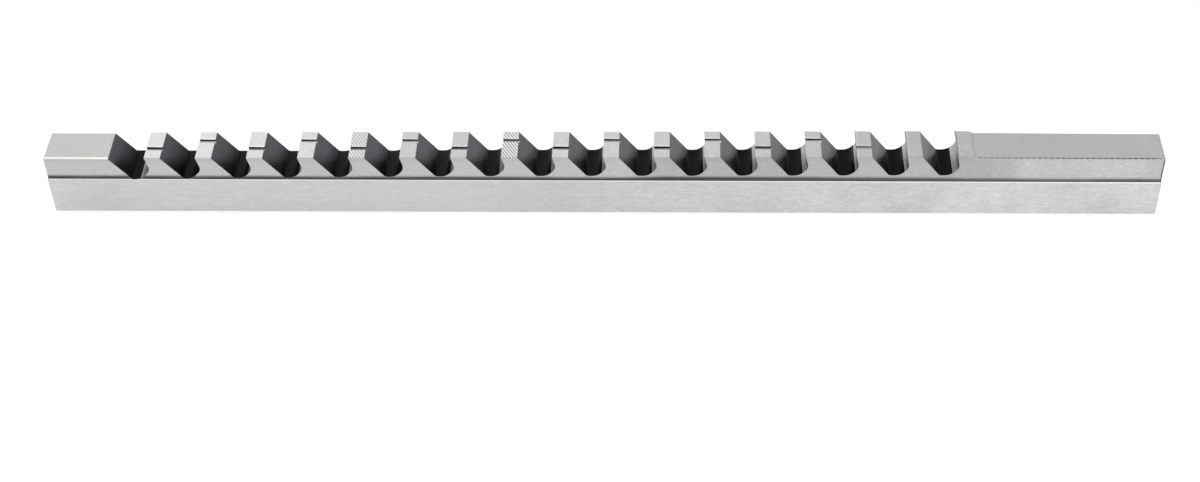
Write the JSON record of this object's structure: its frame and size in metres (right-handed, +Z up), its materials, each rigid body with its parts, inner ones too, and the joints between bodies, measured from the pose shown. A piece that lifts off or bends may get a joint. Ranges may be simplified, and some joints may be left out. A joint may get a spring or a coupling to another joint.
{
  "type": "keyway broach",
  "caption": "Long steel push broach: stepped bar with a plain pilot, a row of rising cutting teeth with chip breakers and a plain shank, for cutting keyways.",
  "frame": {"origin": "middle of the flat back, which the broach stands on", "axes": "+X along the tool from the pilot end to the rear end, +Y across it, +Z up from the back to the teeth"},
  "size_m": [0.3524, 0.0142, 0.0234],
  "materials": {
    "ground_steel": "surface-ground high-speed steel with fine lengthwise grain; gullets left dark from heat treatment"
  },
  "bodies": {
    "root": {"broach": "ground_steel"}
  },
  "joints": []
}
